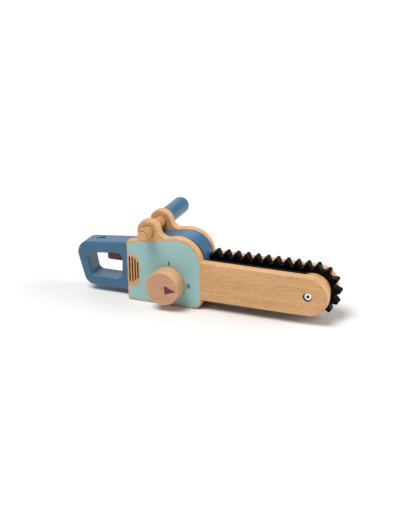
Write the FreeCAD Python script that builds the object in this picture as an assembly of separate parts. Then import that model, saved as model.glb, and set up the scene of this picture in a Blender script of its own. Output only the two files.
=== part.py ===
"""Toy chainsaw of beech and painted wood, with a hand-turned rubber saw belt.

Millimetres, +X towards the tip of the bar, +Z up, and the knob side faces -Y.
The sub-parts are drawn with X = 0 at the rear edge of the side plates, Y = 0 on the middle plane and
Z = 0 on the floor. place() then moves them so that the origin is the centre of the bounding box's base.
"""

import FreeCAD
import Part
import math
import os

# Side plates: each is one board with the body, the ear and the bar
PLATE_T = 13.0
CORE_T = 31.0
BODY_REAR_H = 91.0
TOP_SLOPE = 0.171
SHOULDER_X = 79.6
SHOULDER_Z = 68.0
BOTTOM_CORNER_R = 14.7
PLATE_ROUND = 2.0
BAR_LOW = 14.6
BAR_HIGH = 72.6
NOSE_X = 273.5

# Ear, threaded rod and front grip
EAR_X = 34.8
EAR_Z = 109.3
EAR_R = 16.9
EAR_FILLET_R = 12.0
ROD_CREST_R = 8.6
ROD_ROOT_R = 6.4
ROD_PITCH = 5.5
ROD_NEAR_OUT = 20.0
ROD_TENON = 25.0
GRIP_R = 12.5
GRIP_LEN = 68.0
GRIP_END_ROUND = 7.0

# Vent slots: (x, low z, high z)
VENT_SLOTS = [(4.3, 28.2, 67.6), (8.7, 28.4, 67.0), (13.0, 30.9, 65.0), (17.0, 34.5, 60.7)]
VENT_W = 2.3

# Rear handle and its finger loop
HANDLE_TOP_Z = 82.8
HANDLE_TOP_SLOPE = 0.1
HANDLE_LOW_Z = 8.5
HANDLE_REAR_LOW_X = -73.1
HANDLE_REAR_LEAN = 0.278
HANDLE_TOP_CORNER_R = 19.0
HANDLE_LOW_CORNER_R = 16.0
HANDLE_ROUND = 2.5
LOOP_LOW_Z = 24.2
LOOP_TOP_Z = 65.3
LOOP_CORNERS_X = (-64.4, -70.7, -13.9, -15.4)
LOOP_CORNER_R = 8.0
CORE_INSET = 1.5
CORE_FRONT_X = 31.0
CAP_INSET = 1.0
CAP_LOW_Z = 84.6
CAP_FORWARD = 3.6
CHEEK_REAR_X = 103.6
CHEEK_LOW_Z = 16.0

# Trigger, its pin and its return spring
PIVOT_X = 6.0
PIVOT_Z = 62.0
TRIGGER_T = 15.0
TRIGGER_REAR_X = -41.0
TRIGGER_LOW_Z = 49.4
TRIGGER_CORNER_R = 3.5
TRIGGER_TOP_Z = 62.5
SLOT_T = 15.8
SLOT_TOP_Z = 70.0
PIN_R = 2.5
SPRING_X = -22.0
SPRING_R = 2.8
SPRING_WIRE_R = 0.4
SPRING_TURNS = 4.0

# Screw in the handle's top, under a wooden plug
HANDLE_SCREW_X = -54.0
HANDLE_SCREW_HEAD_R = 4.6
PLUG_HOLE_R = 7.0
PLUG_R = 6.7
PLUG_T = 2.0
PLUG_SUNK = 1.5

# Knob, pointer, shaft and the wheels on it
KNOB_X = 65.3
KNOB_Z = 35.4
KNOB_R = 25.0
KNOB_T = 25.1
KNOB_ROUND = 1.6
POINTER = [(69.0, 41.0), (69.4, 27.4), (86.6, 33.6)]
POINTER_T = 1.6
POINTER_SUNK = 0.4
SHAFT_R = 6.0
SHAFT_IN_KNOB = 17.0
SHAFT_IN_PLATE = 9.0
CLICK_R = 14.0
CLICK_TEETH = 16
CLICK_NOTCH = 1.8
CLICK_NEAR_Y = -12.6
CLICK_T = 6.0

# Belt and its wheels, measured to the belt's inner face
BELT_NEAR_Y = 0.5
BELT_T = 13.0
BAND_T = 4.8
TOOTH_H = 8.3
TOOTH_BASE = 9.6
TOOTH_FLARE = 0.9
TOOTH_FLARE_H = 1.4
TOOTH_TIP = 4.2
TOOTH_ROOTED = 1.7
TOOTH_SUNK = 0.7
TOOTH_TIP_ROUND = 1.8
TOOTH_PITCH = 15.03
PITCH_OFFSET = 6.6
FIRST_TOOTH_X = 277.2
NOSE_WHEEL_R = 25.0
DRIVE_WHEEL_R = 19.3
IDLER_R = 12.0
IDLER_X = 90.0
IDLER_PIN_R = 2.5
IDLER_PIN_IN_PLATE = 6.0

# Nose axle and its two screws
NOSE_AXLE_R = 4.0
NOSE_AXLE_IN_PLATE = 7.5
COUNTERBORE_R = 6.7
COUNTERBORE_DEPTH = 5.2
SCREW_HEAD_R = 5.6
SCREW_HEAD_T = 3.0
SCREW_SHANK_R = 2.0
SCREW_SHANK = 8.0
SOCKET_R = 2.7
SOCKET_DEPTH = 2.2

# Guide board between the bar's two sides, inside the belt
SPACER_REAR_X = 119.0
SPACER_FRONT_X = 262.0
SPACER_LOW_Z = 20.0
SPACER_TOP_GAP = 1.0

# Dowels that key the plates to the core: (x, z)
DOWELS = [(12.0, 18.0), (12.0, 79.5), (23.5, 52.0), (50.0, 91.3), (92.0, 91.3)]
DOWEL_R = 4.0
DOWEL_IN_PLATE = 6.5

# Clearances
RUNNING = 0.05
EAR_RUNNING = 0.8
CLEAR = 0.3

# Worked-out positions
PLATE_IN_Y = CORE_T / 2
PLATE_OUT_Y = CORE_T / 2 + PLATE_T
NOSE_R = (BAR_HIGH - BAR_LOW) / 2
NOSE_Z = (BAR_HIGH + BAR_LOW) / 2
IDLER_Z = NOSE_Z + NOSE_WHEEL_R - IDLER_R
ROD_NEAR_Y = -PLATE_OUT_Y - ROD_NEAR_OUT
GRIP_NEAR_Y = PLATE_OUT_Y + CLEAR
GRIP_FAR_Y = GRIP_NEAR_Y + GRIP_LEN
KNOB_BACK_Y = -PLATE_OUT_Y - CLEAR
KNOB_FRONT_Y = KNOB_BACK_Y - KNOB_T
BELT_FAR_Y = BELT_NEAR_Y + BELT_T
HANDLE_REAR_X = -85.8
TIP_X = NOSE_X + NOSE_WHEEL_R + BAND_T + TOOTH_H
CENTRE = FreeCAD.Vector((HANDLE_REAR_X + TIP_X) / 2, (KNOB_FRONT_Y + GRIP_FAR_Y) / 2, 0)
SIDE = FreeCAD.Vector(0, 1, 0)


def place(shape):
    """The shape in the final frame."""
    moved = shape.copy()
    moved.translate(-CENTRE)
    return moved


def save(name, shape):
    place(shape).exportStep(os.path.join("parts", name + ".step"))


def point(x, z, y=0.0):
    return FreeCAD.Vector(x, y, z)


def slab(face, y0, y1):
    """A face drawn at Y = 0, made solid from y0 to y1."""
    moved = face.copy()
    moved.translate(FreeCAD.Vector(0, y0, 0))
    return moved.extrude(FreeCAD.Vector(0, y1 - y0, 0))


def polygon(corners):
    points = [point(x, z) for x, z in corners]
    return Part.Face(Part.makePolygon(points + points[:1]))


def rod(x, z, radius, y0, y1):
    """A cylinder along Y."""
    return Part.makeCylinder(radius, y1 - y0, point(x, z, y0), SIDE)


def block(x0, x1, y0, y1, z0, z1):
    return Part.makeBox(x1 - x0, y1 - y0, z1 - z0, point(x0, z0, y0))


def bead(shape, corners):
    """Round the Y-wise edges nearest to each (x, z, radius)."""
    for x, z, radius in corners:
        edges = [e for e in shape.Edges if is_sideways(e)]
        nearest = min(edges, key=lambda e: math.hypot(e.Vertexes[0].X - x, e.Vertexes[0].Z - z))
        shape = shape.makeFillet(radius, [nearest])
    return shape


def is_sideways(edge):
    if len(edge.Vertexes) != 2:
        return False
    a, b = edge.Vertexes
    return math.hypot(a.X - b.X, a.Z - b.Z) < 1e-6


def flat_edges(shape, y):
    """The edges that lie wholly in the plane at this Y."""
    return [e for e in shape.Edges if abs(e.BoundBox.YMin - y) < 1e-6 and abs(e.BoundBox.YMax - y) < 1e-6]


def top_of_body(x):
    return BODY_REAR_H + TOP_SLOPE * x


def shoulder_radius():
    """The shoulder's arc is tangent to the sloping top edge."""
    lean = math.atan(TOP_SLOPE)
    return (BODY_REAR_H + TOP_SLOPE * SHOULDER_X - SHOULDER_Z) * math.cos(lean)


def body_face():
    """Outline of the body: sloping top, round shoulder and round lower front corner."""
    radius = shoulder_radius()
    lean = math.atan(TOP_SLOPE)
    top_end = point(SHOULDER_X - radius * math.sin(lean), SHOULDER_Z + radius * math.cos(lean))
    mid = (math.pi / 2 + lean) / 2
    top_mid = point(SHOULDER_X + radius * math.cos(mid), SHOULDER_Z + radius * math.sin(mid))
    front_x = SHOULDER_X + radius
    front = point(front_x, SHOULDER_Z)
    low_front = point(front_x, BOTTOM_CORNER_R)
    inset = BOTTOM_CORNER_R * (1 - math.sqrt(0.5))
    low_mid = point(front_x - inset, inset)
    low_end = point(front_x - BOTTOM_CORNER_R, 0)
    edges = [
        Part.LineSegment(point(0, 0), point(0, BODY_REAR_H)).toShape(),
        Part.LineSegment(point(0, BODY_REAR_H), top_end).toShape(),
        Part.Arc(top_end, top_mid, front).toShape(),
        Part.LineSegment(front, low_front).toShape(),
        Part.Arc(low_front, low_mid, low_end).toShape(),
        Part.LineSegment(low_end, point(0, 0)).toShape(),
    ]
    return Part.Face(Part.Wire(edges))


def plate_blank():
    """Body, ear and bar as one board on the far side, with all its corners and rims rounded."""
    y0 = PLATE_IN_Y
    y1 = PLATE_OUT_Y
    front_x = SHOULDER_X + shoulder_radius()
    bar = block(front_x - 40, NOSE_X, y0, y1, BAR_LOW, BAR_HIGH)
    bar = bar.fuse(rod(NOSE_X, NOSE_Z, NOSE_R, y0, y1))
    ear = rod(EAR_X, EAR_Z, EAR_R, y0, y1)
    ear = ear.fuse(block(EAR_X - EAR_R, EAR_X, y0, y1, BODY_REAR_H - 10, EAR_Z))
    board = slab(body_face(), y0, y1).fuse([bar, ear]).removeSplitter()
    lean = math.atan(TOP_SLOPE)
    drop = (EAR_Z - top_of_body(EAR_X)) * math.cos(lean)
    reach = math.sqrt(EAR_R ** 2 - drop ** 2)
    ear_foot_x = EAR_X + drop * math.sin(lean) + reach * math.cos(lean)
    board = bead(board, [
        (0, 0, 4.0),
        (0, BODY_REAR_H, 5.0),
        (EAR_X - EAR_R, top_of_body(EAR_X - EAR_R), 2.5),
        (ear_foot_x, top_of_body(ear_foot_x), EAR_FILLET_R),
        (front_x, BAR_HIGH, 3.0),
    ])
    for y in (y0, y1):
        board = board.makeFillet(PLATE_ROUND, flat_edges(board, y))
    return board


def dowel_holes(y0, y1):
    return [rod(x, z, DOWEL_R, y0, y1) for x, z in DOWELS]


def vent_slots(y0, y1):
    slots = []
    for x, low, high in VENT_SLOTS:
        bar = block(x - VENT_W / 2, x + VENT_W / 2, y0, y1, low + VENT_W / 2, high - VENT_W / 2)
        ends = [rod(x, z, VENT_W / 2, y0, y1) for z in (low + VENT_W / 2, high - VENT_W / 2)]
        slots.append(bar.fuse(ends).removeSplitter())
    return slots


def side_plate(side, shaft_through):
    """side is -1 for the near plate and +1 for the far one."""
    inner = side * PLATE_IN_Y
    outer = side * PLATE_OUT_Y

    def span(a, b):
        return (min(a, b), max(a, b))

    board = plate_blank()
    if side < 0:
        board = board.mirror(point(0, 0), SIDE)
    beyond = outer + side * 5
    shaft_end = beyond if shaft_through else inner + side * (SHAFT_IN_PLATE + CLEAR)
    cuts = [
        rod(EAR_X, EAR_Z, ROD_CREST_R + EAR_RUNNING, *span(inner - side * 5, beyond)),
        rod(KNOB_X, KNOB_Z, SHAFT_R + RUNNING, *span(inner - side * 5, shaft_end)),
        rod(NOSE_X, NOSE_Z, NOSE_AXLE_R, *span(inner - side * 5, inner + side * NOSE_AXLE_IN_PLATE)),
        rod(NOSE_X, NOSE_Z, SCREW_SHANK_R + CLEAR, *span(inner, beyond)),
        rod(NOSE_X, NOSE_Z, COUNTERBORE_R, *span(outer - side * COUNTERBORE_DEPTH, beyond)),
        rod(IDLER_X, IDLER_Z, IDLER_PIN_R, *span(inner - side * 5, inner + side * IDLER_PIN_IN_PLATE)),
    ]
    cuts += vent_slots(*span(inner - side * 5, beyond))
    cuts += dowel_holes(*span(inner - side * 5, inner + side * DOWEL_IN_PLATE))
    return board.cut(cuts)


def handle_outline():
    rear_top_z = (HANDLE_TOP_Z + HANDLE_TOP_SLOPE * (HANDLE_REAR_LOW_X + HANDLE_REAR_LEAN * HANDLE_LOW_Z))
    rear_top_z = rear_top_z / (1 + HANDLE_TOP_SLOPE * HANDLE_REAR_LEAN)
    rear_top_x = HANDLE_REAR_LOW_X - HANDLE_REAR_LEAN * (rear_top_z - HANDLE_LOW_Z)
    ramp_foot_x = 3.0
    ramp_head_x = 12.0
    corners = [
        (CORE_FRONT_X, CORE_INSET),
        (CORE_INSET, CORE_INSET),
        (CORE_INSET, HANDLE_LOW_Z),
        (HANDLE_REAR_LOW_X, HANDLE_LOW_Z),
        (rear_top_x, rear_top_z),
        (ramp_foot_x, HANDLE_TOP_Z + HANDLE_TOP_SLOPE * ramp_foot_x),
        (ramp_head_x, top_of_body(ramp_head_x) - CORE_INSET),
        (CORE_FRONT_X, top_of_body(CORE_FRONT_X) - CORE_INSET),
    ]
    rounds = [
        (*corners[3], HANDLE_LOW_CORNER_R),
        (*corners[4], HANDLE_TOP_CORNER_R),
        (*corners[5], 8.0),
        (*corners[6], 8.0),
    ]
    return corners, rounds


def finger_loop():
    """The opening in the handle, as a solid that runs past both faces."""
    low_rear, high_rear, high_front, low_front = LOOP_CORNERS_X
    corners = [
        (low_rear, LOOP_LOW_Z),
        (high_rear, LOOP_TOP_Z + HANDLE_TOP_SLOPE * high_rear),
        (high_front, LOOP_TOP_Z + HANDLE_TOP_SLOPE * high_front),
        (low_front, LOOP_LOW_Z),
    ]
    hole = slab(polygon(corners), -CORE_T / 2, CORE_T / 2)
    return bead(hole, [(x, z, LOOP_CORNER_R) for x, z in corners])


def rear_handle():
    """Painted core: the rear block between the plates, with the handle and its finger loop."""
    corners, rounds = handle_outline()
    solid = bead(slab(polygon(corners), -CORE_T / 2, CORE_T / 2), rounds)
    solid = solid.cut(finger_loop())
    behind = [e for y in (-CORE_T / 2, CORE_T / 2) for e in flat_edges(solid, y) if e.BoundBox.XMax < 1.0]
    solid = solid.makeFillet(HANDLE_ROUND, behind)
    slot = trigger_slot()
    seat_z = plug_top_z() - PLUG_T
    plug_hole = Part.makeCylinder(PLUG_HOLE_R, 10, point(HANDLE_SCREW_X, seat_z))
    head_z = seat_z - SCREW_HEAD_T
    screw_hole = Part.makeCylinder(HANDLE_SCREW_HEAD_R + CLEAR, 10, point(HANDLE_SCREW_X, head_z))
    shank_z = head_z - SCREW_SHANK
    shank_hole = Part.makeCylinder(SCREW_SHANK_R, 12, point(HANDLE_SCREW_X, shank_z))
    pin_hole = rod(PIVOT_X, PIVOT_Z, PIN_R, -CORE_T, CORE_T)
    holes = [slot, plug_hole, screw_hole, shank_hole, pin_hole, click_reed_solid()]
    return solid.cut(holes + dowel_holes(-CORE_T, CORE_T))


def plug_top_z():
    return HANDLE_TOP_Z + HANDLE_TOP_SLOPE * HANDLE_SCREW_X - PLUG_SUNK


def handle_plug():
    plug = Part.makeCylinder(PLUG_R, PLUG_T, point(HANDLE_SCREW_X, plug_top_z() - PLUG_T))
    rim = [e for e in plug.Edges if e.BoundBox.ZMin > plug_top_z() - 0.01]
    return plug.makeFillet(0.5, rim)


def trigger_slot():
    """Room for the trigger in the handle's top bar and in the block behind the finger loop."""
    rear_x = TRIGGER_REAR_X - 1.2
    loop_front_x = LOOP_CORNERS_X[2]
    front_x = PIVOT_X + 8
    upper = block(rear_x, front_x, -SLOT_T / 2, SLOT_T / 2, PIVOT_Z - 8, SLOT_TOP_Z)
    lower = block(loop_front_x - 6, loop_front_x + 8, -SLOT_T / 2, SLOT_T / 2, TRIGGER_LOW_Z - 1, PIVOT_Z)
    return upper.fuse(lower).removeSplitter()


def trigger():
    corners = [
        (TRIGGER_REAR_X, TRIGGER_TOP_Z),
        (TRIGGER_REAR_X, TRIGGER_LOW_Z),
        (LOOP_CORNERS_X[2] + 6, TRIGGER_LOW_Z),
        (LOOP_CORNERS_X[2] + 7, PIVOT_Z - 6),
        (PIVOT_X + 6, PIVOT_Z - 6),
        (PIVOT_X + 6, PIVOT_Z + 5),
        (-10, TRIGGER_TOP_Z),
    ]
    lever = slab(polygon(corners), -TRIGGER_T / 2, TRIGGER_T / 2)
    lever = bead(lever, [(*corners[1], TRIGGER_CORNER_R), (*corners[4], 4.0), (*corners[5], 4.0)])
    rims = [e for y in (-TRIGGER_T / 2, TRIGGER_T / 2) for e in flat_edges(lever, y)]
    lever = lever.makeFillet(1.2, rims)
    return lever.cut(rod(PIVOT_X, PIVOT_Z, PIN_R + RUNNING, -TRIGGER_T, TRIGGER_T))


def trigger_pin():
    return rod(PIVOT_X, PIVOT_Z, PIN_R, -CORE_T / 2 + CLEAR, CORE_T / 2 - CLEAR)


def trigger_spring():
    """Compression spring between the trigger and the roof of its slot."""
    low = TRIGGER_TOP_Z + SPRING_WIRE_R + 0.1
    height = SLOT_TOP_Z - TRIGGER_TOP_Z - 2 * SPRING_WIRE_R - 0.2
    helix = Part.makeLongHelix(height / SPRING_TURNS, height, SPRING_R)
    start = FreeCAD.Vector(SPRING_R, 0, 0)
    ring = Part.Wire(Part.makeCircle(SPRING_WIRE_R, start, SIDE))
    coil = Part.Wire(helix.Edges).makePipeShell([ring], True, True)
    coil.translate(point(SPRING_X, low))
    return coil


def top_core():
    """Painted cap that closes the body's top and front, fitted round the belt, with a cheek beside it."""
    solid = slab(body_face().makeOffset2D(-CAP_INSET), -CORE_T / 2, CORE_T / 2)
    solid.translate(point(CAP_FORWARD, 0))
    cap = block(CORE_FRONT_X, TIP_X, -CORE_T, CORE_T, CAP_LOW_Z, EAR_Z)
    wall = block(CHEEK_REAR_X, TIP_X, -CORE_T, CORE_T, belt_top_z(), EAR_Z)
    cheek = block(CHEEK_REAR_X, TIP_X, -CORE_T, BELT_NEAR_Y - CLEAR, CHEEK_LOW_Z, EAR_Z)
    solid = solid.common(cap.fuse([wall, cheek])).removeSplitter()
    room = [tooth for tooth in belt_teeth(CLEAR) if tooth.BoundBox.ZMin > IDLER_Z]
    return solid.cut(room + dowel_holes(-CORE_T, CORE_T))


def belt_top_z():
    return NOSE_Z + NOSE_WHEEL_R + BAND_T + CLEAR


def bar_spacer():
    """Black guide board between the bar's two sides, just inside the belt, hollowed for the nose wheel."""
    top = NOSE_Z + NOSE_WHEEL_R - SPACER_TOP_GAP
    board = block(SPACER_REAR_X, SPACER_FRONT_X, -CORE_T / 2, CORE_T / 2, SPACER_LOW_Z, top)
    return board.cut(rod(NOSE_X, NOSE_Z, NOSE_WHEEL_R + CLEAR, -CORE_T, CORE_T))


def assembly_dowels():
    reach = PLATE_IN_Y + DOWEL_IN_PLATE - CLEAR
    return Part.makeCompound([rod(x, z, DOWEL_R, -reach, reach) for x, z in DOWELS])


def hex_socket(y0, y1):
    """A six-sided driver socket on the Y axis."""
    angles = [i * math.pi / 3 for i in range(6)]
    corners = [(SOCKET_R * math.cos(a), SOCKET_R * math.sin(a)) for a in angles]
    return slab(polygon(corners), y0, y1)


def socket_screw(head_r, shank):
    """Screw along Y with its head's face at Y = 0 and its shank towards +Y."""
    head = Part.makeCylinder(head_r, SCREW_HEAD_T, point(0, 0), SIDE)
    head = head.makeFillet(0.6, flat_edges(head, 0))
    stem = Part.makeCylinder(SCREW_SHANK_R, shank, point(0, 0, SCREW_HEAD_T), SIDE)
    return head.fuse(stem).cut(hex_socket(-1, SOCKET_DEPTH)).removeSplitter()


def nose_screw(side):
    screw = socket_screw(SCREW_HEAD_R, SCREW_SHANK)
    if side > 0:
        screw.rotate(point(0, 0), FreeCAD.Vector(0, 0, 1), 180)
    screw.translate(point(NOSE_X, NOSE_Z, side * (PLATE_OUT_Y - COUNTERBORE_DEPTH + SCREW_HEAD_T)))
    return screw


def handle_screw():
    screw = socket_screw(HANDLE_SCREW_HEAD_R, SCREW_SHANK)
    screw.rotate(point(0, 0), FreeCAD.Vector(1, 0, 0), -90)
    screw.translate(point(HANDLE_SCREW_X, plug_top_z() - PLUG_T))
    return screw


def nose_axle():
    """Steel sleeve nut that joins the two screws and carries the nose wheel."""
    reach = PLATE_IN_Y + NOSE_AXLE_IN_PLATE - CLEAR
    sleeve = rod(NOSE_X, NOSE_Z, NOSE_AXLE_R, -reach, reach)
    ends = [rod(NOSE_X, NOSE_Z, SCREW_SHANK_R, *y) for y in ((-reach - 1, -8), (8, reach + 1))]
    return sleeve.cut(ends)


def nose_wheel():
    half = PLATE_IN_Y - CLEAR
    wheel = rod(NOSE_X, NOSE_Z, NOSE_WHEEL_R - CLEAR, -half, half)
    rims = flat_edges(wheel, -half) + flat_edges(wheel, half)
    wheel = wheel.makeFillet(0.8, rims)
    return wheel.cut(rod(NOSE_X, NOSE_Z, NOSE_AXLE_R + RUNNING, -CORE_T, CORE_T))


def drive_knob():
    knob = rod(KNOB_X, KNOB_Z, KNOB_R, KNOB_FRONT_Y, KNOB_BACK_Y)
    knob = knob.makeFillet(KNOB_ROUND, flat_edges(knob, KNOB_FRONT_Y) + flat_edges(knob, KNOB_BACK_Y))
    pocket = slab(polygon(POINTER), KNOB_FRONT_Y - 1, KNOB_FRONT_Y + POINTER_SUNK + POINTER_T)
    bore = rod(KNOB_X, KNOB_Z, SHAFT_R, KNOB_BACK_Y - SHAFT_IN_KNOB, KNOB_BACK_Y + 1)
    return knob.cut([pocket, bore])


def knob_pointer():
    near = KNOB_FRONT_Y + POINTER_SUNK
    return slab(polygon(POINTER), near, near + POINTER_T)


def drive_shaft():
    far = PLATE_IN_Y + SHAFT_IN_PLATE
    return rod(KNOB_X, KNOB_Z, SHAFT_R, KNOB_BACK_Y - SHAFT_IN_KNOB, far)


def drive_wheel():
    wheel = rod(KNOB_X, KNOB_Z, DRIVE_WHEEL_R - CLEAR, BELT_NEAR_Y, BELT_FAR_Y)
    return wheel.cut(rod(KNOB_X, KNOB_Z, SHAFT_R, -CORE_T, CORE_T))


def click_wheel():
    """Notched wheel that the reed rattles on."""
    wheel = rod(KNOB_X, KNOB_Z, CLICK_R, CLICK_NEAR_Y, CLICK_NEAR_Y + CLICK_T)
    notches = []
    for i in range(CLICK_TEETH):
        angle = 2 * math.pi * (i + 0.5) / CLICK_TEETH
        x = KNOB_X + CLICK_R * math.cos(angle)
        z = KNOB_Z + CLICK_R * math.sin(angle)
        notches.append(rod(x, z, CLICK_NOTCH, CLICK_NEAR_Y - 1, CLICK_NEAR_Y + CLICK_T + 1))
    shaft = rod(KNOB_X, KNOB_Z, SHAFT_R, -CORE_T, CORE_T)
    return wheel.cut(notches + [shaft])


def click_reed_solid():
    """Thin plastic strip, glued in a saw cut in the rear block, with its tip at the click wheel."""
    tip_x = KNOB_X - CLICK_R - CLEAR
    mid_y = CLICK_NEAR_Y + CLICK_T / 2
    return block(CORE_FRONT_X - 8, tip_x, mid_y - 2, mid_y + 2, KNOB_Z - 0.5, KNOB_Z + 0.5)


def idler_roller():
    roller = rod(IDLER_X, IDLER_Z, IDLER_R - CLEAR, BELT_NEAR_Y, BELT_FAR_Y)
    return roller.cut(rod(IDLER_X, IDLER_Z, IDLER_PIN_R + RUNNING, -CORE_T, CORE_T))


def idler_axle():
    reach = PLATE_IN_Y + IDLER_PIN_IN_PLATE - CLEAR
    return rod(IDLER_X, IDLER_Z, IDLER_PIN_R, -reach, reach)


def shaft_washers():
    """A washer on each side of the wheels, against the plates."""
    rings = []
    for y0 in (-PLATE_IN_Y, PLATE_IN_Y - 1.5):
        disc = rod(KNOB_X, KNOB_Z, 11.0, y0, y0 + 1.5)
        rings.append(disc.cut(rod(KNOB_X, KNOB_Z, SHAFT_R + CLEAR, -CORE_T, CORE_T)))
    return Part.makeCompound(rings)


def front_grip():
    grip = rod(EAR_X, EAR_Z, GRIP_R, GRIP_NEAR_Y, GRIP_FAR_Y)
    grip = grip.makeFillet(GRIP_END_ROUND, flat_edges(grip, GRIP_FAR_Y))
    grip = grip.makeFillet(1.5, flat_edges(grip, GRIP_NEAR_Y))
    return grip.cut(rod(EAR_X, EAR_Z, ROD_ROOT_R, GRIP_NEAR_Y - 1, GRIP_NEAR_Y + ROD_TENON))


def threaded_rod():
    """Wooden screw rod: ridges at the thread's pitch, and a plain tenon that is glued into the grip."""
    ridge_from = 1.0
    flat_from = 2.3
    flat_to = 3.2
    ridge_to = 4.5
    outline = [(0, ROD_NEAR_Y), (ROD_ROOT_R - 1.2, ROD_NEAR_Y), (ROD_ROOT_R, ROD_NEAR_Y + 1.2)]
    ridges = int((GRIP_NEAR_Y - ROD_NEAR_Y - 2) / ROD_PITCH)
    for i in range(ridges):
        y = ROD_NEAR_Y + 1.5 + i * ROD_PITCH
        outline += [(ROD_ROOT_R, y + ridge_from), (ROD_CREST_R, y + flat_from)]
        outline += [(ROD_CREST_R, y + flat_to), (ROD_ROOT_R, y + ridge_to)]
    tenon_end = GRIP_NEAR_Y + ROD_TENON
    outline += [(ROD_ROOT_R, tenon_end), (0, tenon_end)]
    points = [FreeCAD.Vector(EAR_X + r, y, EAR_Z) for r, y in outline]
    face = Part.Face(Part.makePolygon(points + points[:1]))
    return face.revolve(point(EAR_X, EAR_Z), SIDE, 360)


def wheel_circles(offset):
    """The belt's three wheels in running order, grown by offset."""
    return [
        (IDLER_X, IDLER_Z, IDLER_R + offset),
        (NOSE_X, NOSE_Z, NOSE_WHEEL_R + offset),
        (KNOB_X, KNOB_Z, DRIVE_WHEEL_R + offset),
    ]


def run_normal(a, b):
    """Angle of the outward normal of the straight run from wheel a to wheel b."""
    heading = math.atan2(b[1] - a[1], b[0] - a[0])
    return heading + math.acos((a[2] - b[2]) / math.hypot(b[0] - a[0], b[1] - a[1]))


def on_circle(circle, angle, extra=0.0):
    x, z, radius = circle
    return (x + (radius + extra) * math.cos(angle), z + (radius + extra) * math.sin(angle))


def belt_stretches(offset):
    """The closed path as (length, place) pairs, where place(s, height) gives (x, z, outward angle)."""
    wheels = wheel_circles(offset)
    stretches = []
    for i, wheel in enumerate(wheels):
        ahead = wheels[(i + 1) % 3]
        behind = wheels[i - 1]
        enter = run_normal(behind, wheel)
        leave = run_normal(wheel, ahead)
        turn = (enter - leave) % (2 * math.pi)
        stretches.append((turn * wheel[2], arc_place(wheel, enter)))
        start = on_circle(wheel, leave)
        end = on_circle(ahead, leave)
        stretches.append((math.dist(start, end), line_place(start, end, leave)))
    return stretches


def arc_place(wheel, enter):
    def place_at(s, height):
        angle = enter - s / wheel[2]
        x, z = on_circle(wheel, angle, height)
        return x, z, angle
    return place_at


def line_place(start, end, normal):
    length = math.dist(start, end)

    def place_at(s, height):
        x = start[0] + (end[0] - start[0]) * s / length + height * math.cos(normal)
        z = start[1] + (end[1] - start[1]) * s / length + height * math.sin(normal)
        return x, z, normal
    return place_at


def belt_length(offset):
    return sum(length for length, _ in belt_stretches(offset))


def tooth_places():
    """Root point and outward angle of every tooth, evenly spaced round the loop."""
    stretches = belt_stretches(PITCH_OFFSET)
    total = belt_length(PITCH_OFFSET)
    count = round(total / TOOTH_PITCH)
    to_first = stretches[0][0] + FIRST_TOOTH_X - IDLER_X
    places = []
    for i in range(count):
        s = (to_first + i * total / count) % total
        for length, place_at in stretches:
            if s <= length:
                places.append(place_at(s, BAND_T - PITCH_OFFSET))
                break
            s -= length
    return places


def loop_face(offset):
    edges = []
    for length, place_at in belt_stretches(offset):
        start, mid, end = [place_at(length * t, 0.0)[:2] for t in (0.0, 0.5, 1.0)]
        straight = math.dist(start, mid) + math.dist(mid, end) - math.dist(start, end) < 1e-9
        if straight:
            edges.append(Part.LineSegment(point(*start), point(*end)).toShape())
        else:
            edges.append(Part.Arc(point(*start), point(*mid), point(*end)).toShape())
    return Part.Face(Part.Wire(edges))


def belt_tooth(grow):
    """One tooth that stands on X = 0, Z = 0 and points up, made larger all round by grow."""
    foot = TOOTH_BASE / 2 + TOOTH_FLARE
    flank = [
        (foot + grow, -TOOTH_ROOTED),
        (foot + grow, -TOOTH_SUNK),
        (TOOTH_BASE / 2 + grow, TOOTH_FLARE_H),
        (TOOTH_TIP / 2 + grow, TOOTH_H + grow),
    ]
    corners = [(-x, z) for x, z in flank] + flank[::-1]
    tooth = slab(polygon(corners), BELT_NEAR_Y - grow, BELT_FAR_Y + grow)
    return bead(tooth, [(side * flank[3][0], flank[3][1], TOOTH_TIP_ROUND) for side in (-1, 1)])


def belt_teeth(grow):
    pattern = belt_tooth(grow)
    teeth = []
    for x, z, angle in tooth_places():
        tooth = pattern.copy()
        tooth.rotate(point(0, 0), SIDE, 90 - math.degrees(angle))
        tooth.translate(point(x, z))
        teeth.append(tooth)
    return teeth


def toothed_belt():
    band = slab(loop_face(BAND_T), BELT_NEAR_Y, BELT_FAR_Y)
    band = band.cut(slab(loop_face(0.0), BELT_NEAR_Y - 1, BELT_FAR_Y + 1))
    return band.fuse(belt_teeth(0.0)).removeSplitter()


def main():
    os.makedirs("parts", exist_ok=True)
    save("near_side_plate", side_plate(-1, True))
    save("far_side_plate", side_plate(1, False))
    save("rear_handle", rear_handle())
    save("top_core", top_core())
    save("bar_spacer", bar_spacer())
    save("assembly_dowels", assembly_dowels())
    save("trigger", trigger())
    save("trigger_pin", trigger_pin())
    save("trigger_spring", trigger_spring())
    save("handle_plug", handle_plug())
    save("handle_screw", handle_screw())
    save("drive_knob", drive_knob())
    save("knob_pointer", knob_pointer())
    save("drive_shaft", drive_shaft())
    save("drive_wheel", drive_wheel())
    save("click_wheel", click_wheel())
    save("click_reed", click_reed_solid())
    save("shaft_washers", shaft_washers())
    save("idler_roller", idler_roller())
    save("idler_axle", idler_axle())
    save("toothed_belt", toothed_belt())
    save("nose_wheel", nose_wheel())
    save("nose_axle", nose_axle())
    save("near_nose_screw", nose_screw(-1))
    save("far_nose_screw", nose_screw(1))
    save("front_grip", front_grip())
    save("threaded_rod", threaded_rod())


main()
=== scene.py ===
"""Looks for the toy chainsaw: painted panels, printed marks, a real thread, soft rubber and materials.

Lengths in the tables below are millimetres in the drawing frame: X from the plates' rear edge, Y from the
middle plane and Z from the floor. at() turns them into the frame's metres.
"""

import bmesh
import bpy
import math
from mathutils import Matrix, Vector


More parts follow.
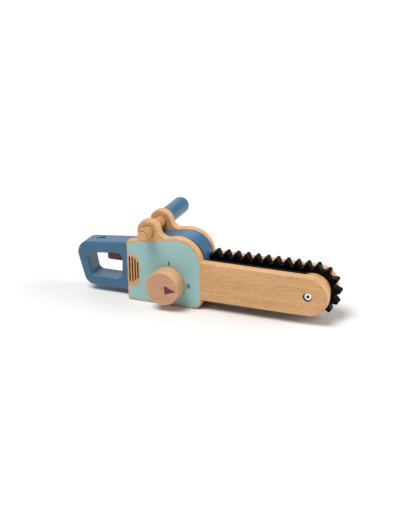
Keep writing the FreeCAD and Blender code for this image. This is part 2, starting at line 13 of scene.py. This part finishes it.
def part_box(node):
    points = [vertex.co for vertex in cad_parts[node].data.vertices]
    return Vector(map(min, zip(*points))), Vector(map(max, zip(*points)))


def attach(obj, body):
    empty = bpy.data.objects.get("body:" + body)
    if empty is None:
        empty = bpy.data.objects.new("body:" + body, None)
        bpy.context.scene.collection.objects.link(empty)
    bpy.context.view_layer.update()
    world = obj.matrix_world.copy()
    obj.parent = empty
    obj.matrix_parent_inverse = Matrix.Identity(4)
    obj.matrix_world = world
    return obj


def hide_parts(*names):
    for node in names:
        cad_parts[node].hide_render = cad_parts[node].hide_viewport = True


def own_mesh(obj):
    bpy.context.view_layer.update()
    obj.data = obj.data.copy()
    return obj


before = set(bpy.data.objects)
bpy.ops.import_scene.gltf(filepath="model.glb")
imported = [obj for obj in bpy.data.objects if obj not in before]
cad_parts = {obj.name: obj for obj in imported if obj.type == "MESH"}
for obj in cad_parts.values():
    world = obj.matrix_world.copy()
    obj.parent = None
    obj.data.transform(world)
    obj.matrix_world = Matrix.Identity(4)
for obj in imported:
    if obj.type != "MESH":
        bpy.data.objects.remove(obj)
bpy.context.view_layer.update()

MM = 0.001
NEAR_LOW, NEAR_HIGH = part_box("near_side_plate")
FAR_LOW, FAR_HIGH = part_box("far_side_plate")
REAR_X = NEAR_LOW[0]
MID_Y = (NEAR_LOW[1] + FAR_HIGH[1]) / 2
PLATE_OUT = (FAR_HIGH[1] - NEAR_LOW[1]) / 2 / MM

# Outline of the painted panel, and the field of bare wood round the vent slots as (right, low, high)
BODY_REAR_H = 91.0
TOP_SLOPE = 0.171
SHOULDER = (79.6, 68.0)
PANEL_INSET = 2.6
PANEL_SHOULDER_R = 33.2
PANEL_CORNER = (101.0, 14.7)
PANEL_CORNER_R = 11.8
PANEL_EDGE_R = 3.0
PANEL_PROUD = 0.12
MARK_PROUD = 0.17
VENT_FIELD = (20.5, 21.0, 72.0)
VENT_FIELD_R = 16.0
VENT_SLOTS_X = (2.6, 19.5)
VENT_SLOTS_Z = (27.0, 69.0)
SHAFT_HOLE_R = 7.0
KNOB = (65.3, 35.4)

# Printed marks beside the knob
STROKE_MARK = (66.3, 64.5)
STROKE_SIZE = (1.9, 6.2)
RING_MARK = (95.7, 34.3)
RING_SIZE = (2.7, 3.7)
RING_STROKE = 1.6

# Knob: its radius, and how far in from the edge the painted highlight on its rim reaches
KNOB_R = 25.0
KNOB_RIM = 1.5

# Screw thread of the front grip's rod
ROD = (34.8, 109.3)
CREST_R = 8.6
ROOT_R = 6.3
PITCH = 5.5
VALLEY_CUT = 0.25
CREST_RISE = 0.6
ROD_NEAR = -48.5
ROD_FAR = 28.7
ROD_CHAMFER = 1.6
ROD_END_R = ROOT_R - 1.0
ROD_STEP = 0.25
ROD_SIDES = 72

# Moulded edges of the belt
BELT_EDGE_R = 0.55

# Nose screws: their axis, the painted shadow ring round their sunk heads, and their sockets
NOSE_SCREW = (273.5, 43.6)
SHADOW_RING_R = 7.0
SOCKET_REACH = 3.0
NEAR_HEAD_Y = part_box("near_nose_screw")[0][1]
FAR_HEAD_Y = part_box("far_nose_screw")[1][1]

# Floor, in metres
FLOOR_SIZE = 80.0

# Camera, as angles in degrees and lengths in millimetres
VIEW_AZIMUTH = 22.5
VIEW_ELEVATION = 22.02
VIEW_ROLL = -0.86
VIEW_TARGET = (129.5, -28.6, 75.3)
VIEW_DISTANCE = 1991.0
VIEW_LENS = 97.44


def at(x, y, z):
    """A drawing-frame point in the frame's metres."""
    return Vector((REAR_X + x * MM, MID_Y + y * MM, z * MM))


# ---------------------------------------------------------------- materials

class Graph:
    """A material's node tree with short calls for the nodes used here."""

    def __init__(self, name):
        self.material = bpy.data.materials.new(name)
        self.material.use_nodes = True
        self.tree = self.material.node_tree
        self.tree.nodes.clear()
        self.shader = self.node("ShaderNodeBsdfPrincipled")
        output = self.node("ShaderNodeOutputMaterial")
        self.link(self.shader.outputs[0], output.inputs["Surface"])
        self.place = self.node("ShaderNodeTexCoord").outputs["Object"]

    def node(self, kind, **settings):
        made = self.tree.nodes.new(kind)
        for key, value in settings.items():
            setattr(made, key, value)
        return made

    def link(self, source, socket):
        self.tree.links.new(source, socket)

    def stretched(self, scale, shift=(0, 0, 0)):
        made = self.node("ShaderNodeMapping")
        made.inputs["Scale"].default_value = scale
        made.inputs["Location"].default_value = shift
        self.link(self.place, made.inputs["Vector"])
        return made.outputs[0]

    def noise(self, vector, scale=1.0, detail=3.0, roughness=0.5, distortion=0.0):
        made = self.node("ShaderNodeTexNoise")
        made.inputs["Scale"].default_value = scale
        made.inputs["Detail"].default_value = detail
        made.inputs["Roughness"].default_value = roughness
        made.inputs["Distortion"].default_value = distortion
        self.link(vector, made.inputs["Vector"])
        return made.outputs["Fac"]

    def coordinates(self):
        """The point's own x, y and z."""
        parts = self.node("ShaderNodeSeparateXYZ")
        self.link(self.place, parts.inputs[0])
        return parts.outputs

    def ramp(self, source, low, high):
        """0 below low, 1 above high, smooth between."""
        made = self.node("ShaderNodeMapRange", interpolation_type="SMOOTHSTEP")
        made.inputs["From Min"].default_value = low
        made.inputs["From Max"].default_value = high
        self.link(source, made.inputs["Value"])
        return made.outputs["Result"]

    def range(self, source, low, high):
        """A 0 to 1 value spread linearly over low to high."""
        made = self.node("ShaderNodeMapRange")
        made.inputs["To Min"].default_value = low
        made.inputs["To Max"].default_value = high
        self.link(source, made.inputs["Value"])
        return made.outputs["Result"]

    def math(self, operation, a, b):
        made = self.node("ShaderNodeMath", operation=operation)
        for socket, value in zip(made.inputs, (a, b)):
            if isinstance(value, (int, float)):
                socket.default_value = value
            else:
                self.link(value, socket)
        return made.outputs[0]

    def mix(self, factor, a, b, blend="MIX"):
        made = self.node("ShaderNodeMix", data_type="RGBA", blend_type=blend)
        if isinstance(factor, (int, float)):
            made.inputs["Factor"].default_value = factor
        else:
            self.link(factor, made.inputs["Factor"])
        for socket, value in ((made.inputs[6], a), (made.inputs[7], b)):
            if isinstance(value, tuple):
                socket.default_value = (*value, 1.0)
            else:
                self.link(value, socket)
        return made.outputs[2]

    def bump(self, height, depth_mm, strength=1.0):
        made = self.node("ShaderNodeBump")
        made.inputs["Distance"].default_value = depth_mm * MM
        made.inputs["Strength"].default_value = strength
        self.link(height, made.inputs["Height"])
        self.link(made.outputs[0], self.shader.inputs["Normal"])

    def finish(self, colour, roughness, **constants):
        self.link(colour, self.shader.inputs["Base Color"])
        self.link(roughness, self.shader.inputs["Roughness"])
        for key, value in constants.items():
            self.shader.inputs[key.replace("_", " ")].default_value = value
        return self.material


def along(axis, length_mm, width_mm):
    """Noise scale for streaks of this length along the axis and this width across it."""
    scale = [1 / (width_mm * MM)] * 3
    scale[axis] = 1 / (length_mm * MM)
    return tuple(scale)


def wood(name, axis, pale, deep, fleck, shift=(0, 0, 0), shade=None, shade_colour=(0.03, 0.034, 0.045)):
    """Beech: soft growth bands, fine short ray flecks along the grain, and open pores."""
    g = Graph(name)
    bands = g.noise(g.stretched(along(axis, 130, 8), shift), detail=4, roughness=0.55, distortion=0.3)
    lines = g.noise(g.stretched(along(axis, 26, 1.3), shift), detail=3, roughness=0.6)
    flecks = g.noise(g.stretched(along(axis, 6.5, 0.85), shift), detail=2, roughness=0.5)
    pores = g.noise(g.stretched(along(axis, 1.8, 0.3), shift), detail=1, roughness=0.5)
    colour = g.mix(g.math("MULTIPLY", g.ramp(bands, 0.33, 0.68), 0.6), pale, deep)
    colour = g.mix(g.math("MULTIPLY", g.ramp(lines, 0.42, 0.72), 0.42), colour, fleck)
    colour = g.mix(g.math("MULTIPLY", g.ramp(flecks, 0.54, 0.68), 0.5), colour, fleck)
    pore_mask = g.ramp(pores, 0.62, 0.78)
    colour = g.mix(g.math("MULTIPLY", pore_mask, 0.3), colour, tuple(c * 0.55 for c in fleck))
    # shade mixes in shade_colour: painted shade in hollows, and on the knob its paler side grain and
    # painted rim highlight
    if shade:
        colour = g.mix(shade(g), colour, shade_colour)
    rough = g.range(bands, 0.32, 0.46)
    g.bump(g.math("SUBTRACT", lines, g.math("MULTIPLY", pore_mask, 0.8)), 0.06, 0.5)
    return g.finish(colour, rough, Specular_IOR_Level=0.5)


def axis_distance(g, x, z, centre):
    """Distance of the point from an axis that runs along Y through this drawing-frame (x, z)."""
    middle = at(centre[0], 0, centre[1])
    across = g.math("SUBTRACT", x, middle.x)
    upright = g.math("SUBTRACT", z, middle.z)
    square = g.math("ADD", g.math("MULTIPLY", across, across), g.math("MULTIPLY", upright, upright))
    return g.math("POWER", square, 0.5)


def between(g, value, low, high):
    """1 where the value is between the two bounds, and 0 elsewhere."""
    return g.math("MULTIPLY", g.math("GREATER_THAN", value, low), g.math("LESS_THAN", value, high))


def board_painted_shade(g):
    """Painted shade in the vent slots and a painted shadow ring round the nose screw, inside the boards'
    outer faces.
    """
    x, y, z = g.coordinates()
    depth = g.math("ABSOLUTE", g.math("SUBTRACT", y, MID_Y), 0)
    deep_in = g.math("SUBTRACT", 1.0, g.ramp(depth, (PLATE_OUT - 3.0) * MM, (PLATE_OUT - 0.5) * MM))
    below_face = g.math("LESS_THAN", depth, (PLATE_OUT - 0.15) * MM)
    slots = g.math("MULTIPLY", between(g, x, *(REAR_X + edge * MM for edge in VENT_SLOTS_X)),
                   between(g, z, *(edge * MM for edge in VENT_SLOTS_Z)))
    ring = g.math("LESS_THAN", axis_distance(g, x, z, NOSE_SCREW), SHADOW_RING_R * MM)
    return g.math("MAXIMUM", g.math("MULTIPLY", slots, deep_in), g.math("MULTIPLY", ring, below_face))


def knob_side_and_rim_highlight(g):
    """The knob's turned side, whose side grain is paler than its face, and a painted highlight on its rim.
    """
    x, y, z = g.coordinates()
    rim = (KNOB_R - KNOB_RIM) * MM
    return g.math("MULTIPLY", g.ramp(axis_distance(g, x, z, KNOB), rim - 0.4 * MM, rim + 0.4 * MM), 0.72)


def socket_painted_shade(g):
    """Painted shade in the hollow of a nose screw's driver socket, on either side."""
    x, y, z = g.coordinates()
    inside = g.math("LESS_THAN", axis_distance(g, x, z, NOSE_SCREW), SOCKET_REACH * MM)
    return g.math("MULTIPLY", inside, between(g, y, NEAR_HEAD_Y + 0.2 * MM, FAR_HEAD_Y - 0.2 * MM))


def thread_valley_painted_shade(g):
    """Painted shade in the valleys of the rod's thread."""
    x, y, z = g.coordinates()
    radius = axis_distance(g, x, z, ROD)
    valley = g.math("SUBTRACT", 1.0, g.ramp(radius, (ROOT_R + 0.1) * MM, (CREST_R - 0.1) * MM))
    along_side = g.math("GREATER_THAN", y, at(0, ROD_NEAR, 0).y + 1.0 * MM)
    return g.math("MULTIPLY", g.math("MULTIPLY", valley, along_side), 0.75)


def paint(name, colour, axis, variation=0.1, roughness=(0.28, 0.4)):
    """Satin paint on wood: faint grain under it, slow tone changes and fine orange peel."""
    g = Graph(name)
    slow = g.noise(g.stretched((18, 18, 18)), detail=3)
    grain = g.noise(g.stretched(along(axis, 30, 0.9)), detail=3, roughness=0.6)
    peel = g.noise(g.stretched((1400, 1400, 1400)), detail=1)
    lighter = tuple(min(1.0, c * (1 + variation) + 0.004) for c in colour)
    darker = tuple(c * (1 - variation) for c in colour)
    tone = g.mix(g.ramp(slow, 0.3, 0.7), darker, lighter)
    tone = g.mix(g.math("MULTIPLY", g.ramp(grain, 0.5, 0.78), 0.28), tone, tuple(c * 0.8 for c in colour))
    height = g.math("ADD", g.math("MULTIPLY", grain, 0.7), g.math("MULTIPLY", peel, 0.3))
    g.bump(height, 0.05, 0.6)
    return g.finish(tone, g.range(slow, *roughness), Specular_IOR_Level=0.45)


def rubber(name):
    """Matt moulded rubber with a fine mould texture and a little dust."""
    g = Graph(name)
    mould = g.noise(g.stretched((900, 900, 900)), detail=2)
    dust = g.noise(g.stretched((70, 70, 70)), detail=4, roughness=0.65)
    dusty = g.math("MULTIPLY", g.ramp(dust, 0.5, 0.8), 0.35)
    colour = g.mix(dusty, (0.001, 0.001, 0.0013), (0.0045, 0.0045, 0.0045))
    g.bump(mould, 0.05, 0.7)
    return g.finish(colour, g.range(dust, 0.36, 0.52), Specular_IOR_Level=0.07)


def steel(name, colour, roughness, shade=None, shade_colour=(0.06, 0.09, 0.13)):
    """Plated steel with turning marks and faint stains, and painted shade of shade_colour where shade is
    given.
    """
    g = Graph(name)
    turned = g.noise(g.stretched((1500, 120, 1500)), detail=2)
    stain = g.noise(g.stretched((220, 220, 220)), detail=3)
    tone = g.mix(g.ramp(stain, 0.45, 0.8), colour, tuple(c * 0.72 for c in colour))
    if shade:
        tone = g.mix(shade(g), tone, shade_colour)
    g.bump(turned, 0.01, 0.5)
    return g.finish(tone, g.range(stain, *roughness), Metallic=1.0)


def plastic(name, colour):
    """Moulded plastic, slightly clouded."""
    g = Graph(name)
    cloud = g.noise(g.stretched((60, 60, 60)), detail=3)
    grain = g.noise(g.stretched((1100, 1100, 1100)), detail=1)
    tone = g.mix(g.ramp(cloud, 0.35, 0.7), colour, tuple(c * 0.92 for c in colour))
    g.bump(grain, 0.03, 0.5)
    return g.finish(tone, g.range(cloud, 0.35, 0.5))


def ink(name, colour):
    """Printed ink with a fine speckle."""
    g = Graph(name)
    speckle = g.noise(g.stretched((2600, 2600, 2600)), detail=1)
    tone = g.mix(g.ramp(speckle, 0.5, 0.75), colour, tuple(c * 1.6 + 0.01 for c in colour))
    return g.finish(tone, g.range(speckle, 0.45, 0.6))


def floor_finish(name):
    """Pale matt studio floor."""
    g = Graph(name)
    cloud = g.noise(g.stretched((1.5, 1.5, 1.5)), detail=2)
    tone = g.mix(cloud, (0.80, 0.80, 0.805), (0.82, 0.82, 0.82))
    return g.finish(tone, g.range(cloud, 0.6, 0.7), Specular_IOR_Level=0.15)


BEECH = dict(pale=(0.70, 0.40, 0.18), deep=(0.59, 0.31, 0.125), fleck=(0.40, 0.185, 0.065))
ROSY = dict(pale=(0.60, 0.32, 0.195), deep=(0.52, 0.265, 0.15), fleck=(0.40, 0.18, 0.09))
# Painted shade in the vent slots and round the nose screws' sunk heads
PAINTED_SHADE_SLATE = (0.04, 0.07, 0.125)

FINISHES = {
    "board": wood("beech_board", 0, shade=board_painted_shade, shade_colour=PAINTED_SHADE_SLATE, **BEECH),
    "board_far": wood("beech_board_far", 0, shift=(3.1, 7.7, 1.9), shade=board_painted_shade, shade_colour=PAINTED_SHADE_SLATE,
                      **BEECH),
    "turned": wood("beech_turned", 1, shift=(0.4, 0.2, 0.6), **BEECH),
    # Painted shade in the thread's valleys
    "thread": wood("beech_thread", 1, shift=(1.4, 0.7, 0.1), shade=thread_valley_painted_shade,
                   shade_colour=(0.10, 0.035, 0.02), **BEECH),
    # The knob's paler side grain and a painted highlight on its rim
    "knob": wood("beech_knob", 0, shift=(5.0, 1.3, 2.2), shade=knob_side_and_rim_highlight, shade_colour=(0.66, 0.385, 0.18),
                 **ROSY),
    "blue": paint("blue_paint", (0.038, 0.129, 0.23), 0),
    "blue_grip": paint("blue_paint_turned", (0.038, 0.129, 0.23), 1),
    "turquoise": paint("turquoise_paint", (0.305, 0.515, 0.51), 0, variation=0.04),
    "berry": paint("berry_paint", (0.115, 0.006, 0.017), 0),
    "pointer": paint("pointer_paint", (0.135, 0.004, 0.026), 0),
    "rubber": rubber("black_rubber"),
    "zinc": steel("zinc_steel", (0.83, 0.82, 0.79), (0.2, 0.34)),
    # Painted shade in the screws' driver sockets
    "zinc_socket": steel("zinc_socket_head", (0.83, 0.82, 0.79), (0.2, 0.34), shade=socket_painted_shade),
    "wire": steel("spring_wire", (0.55, 0.55, 0.56), (0.28, 0.4)),
    "nylon": plastic("white_nylon", (0.78, 0.77, 0.72)),
    # Near-black matt finish on the spacer between the plates, beside the belt
    "black_paint": paint("black_paint", (0.003, 0.003, 0.0035), 0, roughness=(0.6, 0.75)),
    "ink": ink("navy_ink", (0.008, 0.02, 0.045)),
    "floor": floor_finish("pale_floor"),
}

NODE_FINISH = {
    "near_side_plate": "board", "far_side_plate": "board_far", "assembly_dowels": "turned",
    "rear_handle": "blue", "top_core": "blue", "handle_plug": "blue", "front_grip": "blue_grip",
    "bar_spacer": "black_paint",
    "trigger": "berry", "knob_pointer": "pointer", "drive_knob": "knob",
    "drive_shaft": "turned", "drive_wheel": "turned", "nose_wheel": "turned",
    "trigger_pin": "zinc", "handle_screw": "zinc", "idler_axle": "zinc", "nose_axle": "zinc",
    "near_nose_screw": "zinc_socket", "far_nose_screw": "zinc_socket",
    "click_wheel": "nylon", "click_reed": "nylon", "shaft_washers": "nylon", "idler_roller": "nylon",
}


def dress_nodes():
    """Gives every CAD node its finish."""
    for name, finish in NODE_FINISH.items():
        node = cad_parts[name]
        for material_slot in node.material_slots:
            material_slot.material = FINISHES[finish]


# ---------------------------------------------------------------- meshes

def put(name, mesh, finish, body):
    """Adds a piece that rides on a CAD body, with this finish in its one material slot."""
    piece = bpy.data.objects.new(name, mesh)
    bpy.context.scene.collection.objects.link(piece)
    piece.data.materials.clear()
    piece.data.materials.append(FINISHES[finish])
    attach(piece, body)
    return piece


def arc(centre, radius, start, end, steps=16):
    """Points on an arc in the X-Z plane, angles in degrees."""
    points = []
    for i in range(steps + 1):
        angle = math.radians(start + (end - start) * i / steps)
        points.append((centre[0] + radius * math.cos(angle), centre[1] + radius * math.sin(angle)))
    return points


def ellipse(centre, half_width, half_height, steps=40):
    """Points round an ellipse in the X-Z plane."""
    turns = [2 * math.pi * i / steps for i in range(steps)]
    return [(centre[0] + half_width * math.cos(t), centre[1] + half_height * math.sin(t)) for t in turns]


def sheet_of(name, loops, side, face_out, thickness):
    """A flat sheet in the X-Z plane with holes, as a closed mesh, standing on a plate's outer face."""
    curve = bpy.data.curves.new(name + "_outline", "CURVE")
    curve.dimensions = "2D"
    curve.fill_mode = "BOTH"
    curve.extrude = thickness * MM / 2
    for loop in loops:
        spline = curve.splines.new("POLY")
        spline.points.add(len(loop) - 1)
        for spot, (x, z) in zip(spline.points, loop):
            spot.co = (x * MM, z * MM, 0, 1)
        spline.use_cyclic_u = True
    holder = bpy.data.objects.new(name + "_holder", curve)
    bpy.context.scene.collection.objects.link(holder)
    bpy.context.view_layer.update()
    mesh = bpy.data.meshes.new_from_object(holder.evaluated_get(bpy.context.evaluated_depsgraph_get()))
    bpy.data.objects.remove(holder)
    y = side * (face_out + thickness / 2)
    stand = Matrix(((1, 0, 0, REAR_X), (0, 0, -1, MID_Y + y * MM), (0, 1, 0, 0), (0, 0, 0, 1)))
    mesh.transform(stand)
    weld(mesh)
    mesh.name = name
    return mesh


def weld(mesh):
    """Joins the points that share a place."""
    work = bmesh.new()
    work.from_mesh(mesh)
    bmesh.ops.remove_doubles(work, verts=work.verts, dist=1e-6)
    bmesh.ops.recalc_face_normals(work, faces=work.faces)
    work.to_mesh(mesh)
    work.free()


def panel_outline():
    """The painted area: the body's outline drawn in, less the bare field round the vent slots."""
    inset = PANEL_INSET
    lean = math.degrees(math.atan(TOP_SLOPE))
    top_left_z = BODY_REAR_H + TOP_SLOPE * inset - inset
    right_x, low_z, high_z = VENT_FIELD
    field_r = VENT_FIELD_R
    outline = []
    outline += arc((right_x - field_r, low_z + field_r), field_r, 0, -90)
    outline += [(inset, low_z)]
    outline += arc((inset + PANEL_EDGE_R, inset + PANEL_EDGE_R), PANEL_EDGE_R, 180, 270, 6)
    outline += arc(PANEL_CORNER, PANEL_CORNER_R, 270, 360)
    outline += arc(SHOULDER, PANEL_SHOULDER_R, 0, 90 + lean, 32)
    outline += arc((inset + PANEL_EDGE_R, top_left_z - PANEL_EDGE_R), PANEL_EDGE_R, 90 + lean, 180, 6)
    outline += [(inset, high_z)]
    outline += arc((right_x - field_r, high_z - field_r), field_r, 90, 0)
    return outline


def painted_panels():
    """The painted area on each plate's outer face; the near one has a hole for the knob's shaft."""
    hole = arc(KNOB, SHAFT_HOLE_R, 0, 352.5, 47)
    near = sheet_of("painted_panel_near", [panel_outline(), hole], -1, PLATE_OUT, PANEL_PROUD)
    far = sheet_of("painted_panel_far", [panel_outline()], 1, PLATE_OUT, PANEL_PROUD)
    put("painted_panel_near", near, "turquoise", "root")
    put("painted_panel_far", far, "turquoise", "root")


def printed_marks():
    """Generic off and on marks: a stroke above the knob and a ring beside it."""
    x, z = STROKE_MARK
    w, h = STROKE_SIZE
    left, right, low, high = x - w / 2, x + w / 2, z - h / 2, z + h / 2
    stroke = [(left, low), (right, low), (right, high), (left, high)]
    outer = ellipse(RING_MARK, *RING_SIZE)
    inner = ellipse(RING_MARK, *(half - RING_STROKE for half in RING_SIZE))
    thin = MARK_PROUD - PANEL_PROUD
    base = PLATE_OUT + PANEL_PROUD
    put("mark_stroke", sheet_of("mark_stroke", [stroke], -1, base, thin), "ink", "root")
    put("mark_ring", sheet_of("mark_ring", [outer, inner], -1, base, thin), "ink", "root")


def thread_radius(y, turn):
    """Radius of the cut thread at this place along the rod and this share of a turn, with soft crests."""
    phase = ((y - ROD_NEAR) / PITCH - turn) % 1.0
    ridge = 0.5 - 0.5 * math.cos(2 * math.pi * phase)
    ridge = min(1.0, max(0.0, (ridge - VALLEY_CUT) / CREST_RISE))
    radius = ROOT_R + (CREST_R - ROOT_R) * ridge
    from_end = y - ROD_NEAR
    return min(radius, ROD_END_R + from_end * (CREST_R - ROD_END_R) / ROD_CHAMFER)


def thread_ring(work, y):
    """One closed ring of points round the rod at this place along it."""
    ring = []
    for i in range(ROD_SIDES):
        turn = i / ROD_SIDES
        radius = thread_radius(y, turn)
        angle = 2 * math.pi * turn
        spot = at(ROD[0] + radius * math.cos(angle), y, ROD[1] + radius * math.sin(angle))
        ring.append(work.verts.new(spot))
    return ring


def screw_rod():
    """The grip's rod with a true helical thread, closed at both ends."""
    rows = int((ROD_FAR - ROD_NEAR) / ROD_STEP)
    work = bmesh.new()
    rings = [thread_ring(work, ROD_NEAR + row * ROD_STEP) for row in range(rows + 1)]
    for a, b in zip(rings, rings[1:]):
        for i in range(ROD_SIDES):
            j = (i + 1) % ROD_SIDES
            work.faces.new((a[i], a[j], b[j], b[i]))
    work.faces.new(rings[0])
    work.faces.new(rings[-1])
    bmesh.ops.recalc_face_normals(work, faces=work.faces)
    mesh = bpy.data.meshes.new("screw_rod")
    work.to_mesh(mesh)
    work.free()
    for face in mesh.polygons:
        face.use_smooth = len(face.vertices) == 4
    piece = put("screw_rod", mesh, "thread", "grip")
    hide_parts("threaded_rod")


def soft_belt():
    """The belt's own shape with its sharp edges moulded round."""
    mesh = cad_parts["toothed_belt"].data.copy()
    weld(mesh)
    work = bmesh.new()
    work.from_mesh(mesh)
    bmesh.ops.dissolve_limit(work, angle_limit=math.radians(0.5), verts=work.verts, edges=work.edges)
    work.to_mesh(mesh)
    work.free()
    piece = put("rubber_belt", mesh, "rubber", "root")
    bevel = piece.modifiers.new("mould_edges", "BEVEL")
    bevel.width = BELT_EDGE_R * MM
    bevel.segments = 3
    bevel.limit_method = "ANGLE"
    bevel.angle_limit = math.radians(28)
    for face in mesh.polygons:
        face.use_smooth = True
    normals = piece.modifiers.new("even_shading", "WEIGHTED_NORMAL")
    normals.keep_sharp = True
    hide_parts("toothed_belt")


def squeezed_spring():
    """The trigger's coil spring, as its own copy of the CAD spring's mesh on the root body."""
    piece = put("coil_spring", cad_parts["trigger_spring"].data.copy(), "wire", "root")
    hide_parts("trigger_spring")
    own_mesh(piece)


# ---------------------------------------------------------------- stage

def sun(name, towards, spread, strength, colour=(1, 1, 1)):
    """A soft distant light that shines from this direction, with its angular width in degrees."""
    light = bpy.data.lights.new(name, "SUN")
    light.angle = math.radians(spread)
    light.energy = strength
    light.color = colour
    holder = bpy.data.objects.new(name, light)
    bpy.context.scene.collection.objects.link(holder)
    holder.rotation_euler = Vector(towards).to_track_quat("Z", "Y").to_euler()


def studio():
    """Floor, pale surroundings and three soft lights."""
    bpy.ops.mesh.primitive_plane_add(size=FLOOR_SIZE, location=(0, 0, 0))
    floor = bpy.context.object
    floor.name = "floor"
    floor.data.materials.append(FINISHES["floor"])
    world = bpy.data.worlds.new("studio")
    world.use_nodes = True
    background = world.node_tree.nodes["Background"]
    background.inputs["Color"].default_value = (0.96, 0.98, 1.0, 1.0)
    background.inputs["Strength"].default_value = 0.2
    bpy.context.scene.world = world
    bpy.context.scene.view_settings.view_transform = "Standard"
    sun("key", (-0.22, -0.36, 0.91), 34, 2.95, (1.0, 0.985, 0.965))
    sun("side_fill", (0.87, 0.28, 0.4), 45, 2.0)
    sun("back_sheen", (-0.36, 0.85, 0.5), 45, 0.42)


def camera():
    """The view of the near side from the front right."""
    azimuth = math.radians(VIEW_AZIMUTH)
    elevation = math.radians(VIEW_ELEVATION)
    roll = math.radians(VIEW_ROLL)
    back = Vector((math.sin(azimuth) * math.cos(elevation), -math.cos(azimuth) * math.cos(elevation),
                   math.sin(elevation)))
    right = Vector((math.cos(azimuth), math.sin(azimuth), 0))
    up = back.cross(right)
    rolled_right = math.cos(roll) * right + math.sin(roll) * up
    rolled_up = math.cos(roll) * up - math.sin(roll) * right
    lens = bpy.data.cameras.new("photo_view")
    lens.lens = VIEW_LENS
    lens.sensor_width = 36.0
    lens.clip_end = 50.0
    holder = bpy.data.objects.new("photo_view", lens)
    bpy.context.scene.collection.objects.link(holder)
    place = at(*VIEW_TARGET) + back * VIEW_DISTANCE * MM
    turn = Matrix((rolled_right, rolled_up, back)).transposed().to_4x4()
    holder.matrix_world = Matrix.Translation(place) @ turn
    bpy.context.scene.camera = holder


camera()
dress_nodes()
painted_panels()
printed_marks()
screw_rod()
soft_belt()
squeezed_spring()
studio()
